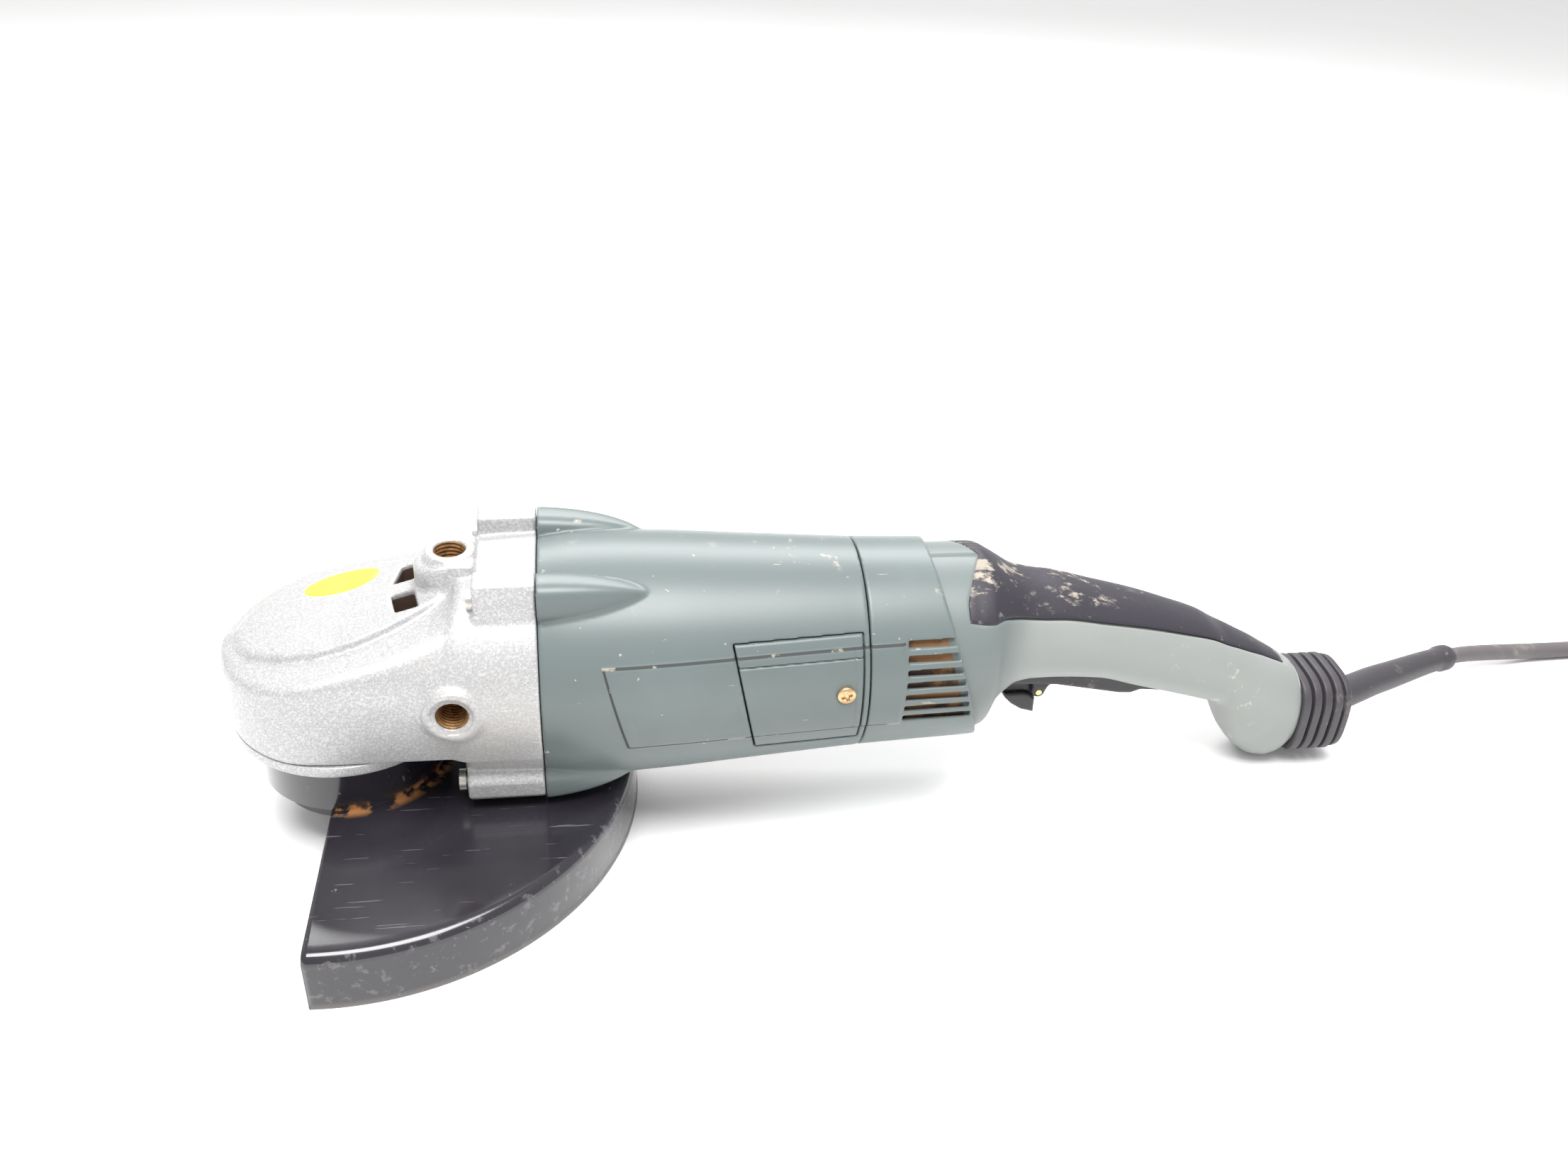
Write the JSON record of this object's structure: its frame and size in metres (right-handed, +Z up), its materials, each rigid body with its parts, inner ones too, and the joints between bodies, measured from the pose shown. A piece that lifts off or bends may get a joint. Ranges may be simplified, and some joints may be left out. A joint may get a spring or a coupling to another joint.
{
  "type": "angle grinder",
  "caption": "Large corded angle grinder with a cast gear head, half-disc wheel guard, slatted motor housing and a long rear handle with a paddle trigger.",
  "frame": {"origin": "middle of the spindle's free thread, on the spindle axis", "axes": "+X from the gear head to the handle, +Y to the right side, +Z up along the spindle"},
  "size_m": [0.8605, 0.273, 0.1385],
  "materials": {
    "cast_aluminium": "silver paint over rough casting, worn",
    "label_yellow": "gloss",
    "zinc_screw": "zinc plated, tarnished",
    "machined_steel": "machined",
    "bronze": "oiled",
    "core_steel": "laminated",
    "black_plastic": "satin",
    "guard_black": "gloss black enamel, scratched",
    "slate_plastic": "satin, scuffed",
    "copper": "enamelled copper",
    "carbon": "matt",
    "grey_plastic": "satin, grained",
    "grip_rubber": "soft, dusty",
    "foil_yellow": "gloss",
    "cord_rubber": "matt"
  },
  "bodies": {
    "grinder": {"gear_case": "cast_aluminium", "name_disc": "label_yellow", "bearing_cover": "cast_aluminium", "cover_screws": "zinc_screw", "lower_bearing_outer": "machined_steel", "lower_bearing_balls": "machined_steel", "upper_bush": "bronze", "lock_spring": "machined_steel", "case_screws": "zinc_screw", "motor_housing": "slate_plastic", "air_baffle": "black_plastic", "stator_core": "core_steel", "stator_coils": "copper", "stator_screws": "zinc_screw", "front_bearing": "machined_steel", "rear_bearing": "machined_steel", "bearing_retainer": "machined_steel", "brush_holders": "copper", "carbon_brushes": "carbon", "brush_springs": "machined_steel", "brush_door_left": "slate_plastic", "brush_door_right": "slate_plastic", "door_screws": "zinc_screw", "rear_shroud": "slate_plastic", "handle_left": "grey_plastic", "handle_right": "grey_plastic", "handle_screws": "zinc_screw", "soft_grip": "grip_rubber", "switch_body": "black_plastic", "capacitor": "foil_yellow", "cord_clamp": "black_plastic", "trigger_pin": "machined_steel", "trigger_spring": "machined_steel", "cord_boot": "cord_rubber", "cable_sleeve": "cord_rubber", "cord": "cord_rubber", "cord_coil": "cord_rubber", "plug": "cord_rubber"},
    "armature": {"armature_shaft": "machined_steel", "pinion": "core_steel", "pinion_nut": "machined_steel", "armature_core": "core_steel", "armature_windings": "copper", "commutator": "copper", "fan": "black_plastic"},
    "spindle": {"spindle": "machined_steel", "crown_gear": "core_steel", "gear_circlip": "machined_steel", "lower_bearing_inner": "machined_steel", "inner_flange": "machined_steel", "flange_nut": "machined_steel"},
    "guard": {"guard": "guard_black", "guard_collar": "guard_black", "collar_screw": "zinc_screw", "collar_nut": "zinc_screw"},
    "lock": {"lock_button": "black_plastic"},
    "trigger": {"trigger": "black_plastic", "lever_pin": "zinc_screw"},
    "lever": {"lock_lever": "black_plastic"}
  },
  "joints": [
    {"name": "armature_spin", "type": "hinge", "parent": "grinder", "child": "armature", "pos_m": [0.1, 0, 0.076], "axis": [1, 0, 0], "continuous": true},
    {"name": "spindle_spin", "type": "hinge", "parent": "grinder", "child": "spindle", "pos_m": [0, 0, 0.03], "axis": [0, 0, 1], "continuous": true},
    {"name": "guard_swivel", "type": "hinge", "parent": "grinder", "child": "guard", "pos_m": [0, 0, 0.03], "axis": [0, 0, 1], "range_deg": [-60, 90]},
    {"name": "spindle_lock", "type": "slide", "parent": "grinder", "child": "lock", "axis": [-0.4226, -0.9063, 0], "range_m": [0, 0.0045], "stiffness_N_per_m": 800, "springref_m": -0.003, "deforming": ["lock_spring"]},
    {"name": "trigger_squeeze", "type": "hinge", "parent": "grinder", "child": "trigger", "pos_m": [0.409, 0, 0.045], "axis": [0, 1, 0], "range_deg": [0, 4.5], "stiffness_Nm_per_rad": 4, "springref_deg": -8.59, "deforming": ["trigger_spring"]},
    {"name": "lock_lever", "type": "hinge", "parent": "trigger", "child": "lever", "pos_m": [0.3255, 0, 0.047], "axis": [0, 1, 0], "range_deg": [0, 15], "stiffness_Nm_per_rad": 0.1, "springref_deg": -11.46}
  ],
  "couplings": [
    {"joint": "spindle_spin", "follows": "armature_spin", "ratio": 0.23684}
  ]
}
